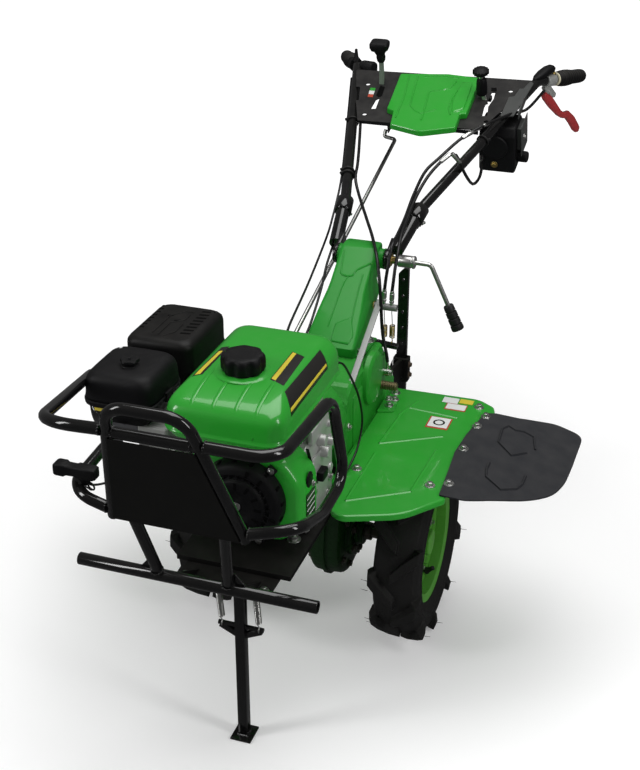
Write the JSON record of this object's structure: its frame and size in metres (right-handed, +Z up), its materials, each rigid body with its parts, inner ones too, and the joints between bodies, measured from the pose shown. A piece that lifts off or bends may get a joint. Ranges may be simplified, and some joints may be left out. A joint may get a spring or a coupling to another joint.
{
  "type": "garden tiller",
  "caption": "Walk-behind two-wheeled garden tiller with a front petrol engine, bumper frame, fold-up parking stand and tilting handlebars.",
  "frame": {"origin": "on the ground, under the middle of the machine's length and width", "axes": "+X to the machine's left, +Y to the rear, where the handlebars are, +Z up"},
  "size_m": [1.026, 1.9306, 1.0594],
  "materials": {
    "green_paint": "gloss green enamel",
    "black_paint": "gloss black enamel",
    "bare_steel": "zinc-plated steel",
    "cast_alloy": "as-cast alloy",
    "brass": "yellow zinc plating",
    "black_plastic": "textured black plastic",
    "black_rubber": "matt black rubber",
    "tyre_rubber": "matt black tyre rubber",
    "red_lever": "red dipped coating"
  },
  "bodies": {
    "chassis": {"air_cleaner_base": "black_plastic", "air_cleaner_cover": "black_plastic", "bumper_hoop": "black_paint", "bumper_plate": "black_paint", "bumper_rail_left": "black_paint", "bumper_rail_right": "black_paint", "cable_bracket": "bare_steel", "carburettor": "cast_alloy", "clamp_lever": "bare_steel", "clutch_cable": "black_rubber", "crankcase": "cast_alloy", "cross_tube": "black_paint", "cylinder": "cast_alloy", "drag_bar_holder": "black_paint", "engine_base": "black_paint", "fan_shroud": "green_paint", "fender_bracket_left": "black_paint", "fender_bracket_right": "black_paint", "fender_flap_left": "black_rubber", "fender_flap_right": "black_rubber", "fender_left": "green_paint", "fender_right": "green_paint", "final_drive": "green_paint", "fuel_cap": "black_plastic", "fuel_tank": "green_paint", "gear_cable": "black_rubber", "gearbox_case": "green_paint", "handlebar_column": "green_paint", "muffler": "bare_steel", "muffler_guard": "black_paint", "pivot_bolt": "brass", "recoil_cover": "black_plastic", "recoil_grip": "black_plastic", "side_cable": "black_rubber", "skid_plate": "black_paint", "stand_bracket": "black_paint", "throttle_cable": "black_rubber"},
    "wheels": {"axle_shaft": "bare_steel", "wheel_rim_left": "green_paint", "wheel_rim_right": "green_paint", "tyre_left": "tyre_rubber", "tyre_right": "tyre_rubber"},
    "stand": {"stand_post": "black_paint"},
    "stand_springs": {"stand_spring_left": "bare_steel", "stand_spring_right": "bare_steel"},
    "handlebar": {"handle_arm_left": "black_paint", "handle_arm_right": "black_paint", "handle_tube_left": "black_paint", "handle_tube_right": "black_paint", "handle_grip_left": "black_rubber", "handle_grip_right": "black_rubber", "control_panel": "black_paint", "panel_cover": "green_paint", "gear_lever": "black_plastic", "side_lever": "black_plastic", "control_box": "black_plastic", "clutch_lever": "red_lever", "throttle_lever": "black_plastic"},
    "shifter": {"shift_rod": "bare_steel"},
    "drag": {"drag_bar": "black_paint"}
  },
  "joints": [
    {"name": "axle_spin", "type": "hinge", "parent": "chassis", "child": "wheels", "pos_m": [0, -0.16329, 0.208], "axis": [1, 0, 0], "continuous": true},
    {"name": "stand_fold", "type": "hinge", "parent": "chassis", "child": "stand", "pos_m": [0, -0.6243, 0.36], "axis": [1, 0, 0], "range_deg": [0, 90]},
    {"name": "stand_spring_swing", "type": "hinge", "parent": "chassis", "child": "stand_springs", "pos_m": [0, -0.64429, 0.38], "axis": [1, 0, 0], "range_deg": [0, 71.2]},
    {"name": "handlebar_tilt", "type": "hinge", "parent": "chassis", "child": "handlebar", "pos_m": [0, 0.10671, 0.725], "axis": [1, 0, 0], "range_deg": [-20, 20], "deforming": ["clutch_cable", "side_cable", "gear_cable", "throttle_cable"]},
    {"name": "shift_rod_swing", "type": "hinge", "parent": "chassis", "child": "shifter", "pos_m": [-0.1063, -0.10329, 0.56], "axis": [1, 0, 0], "range_deg": [-13.7, 13.7]},
    {"name": "drag_bar_slide", "type": "slide", "parent": "chassis", "child": "drag", "axis": [0, 0, 1], "range_m": [-0.2, 0.06]}
  ],
  "couplings": [
    {"joint": "stand_spring_swing", "follows": "stand_fold", "ratio": 0.79},
    {"joint": "shift_rod_swing", "follows": "handlebar_tilt", "ratio": 0.68}
  ]
}
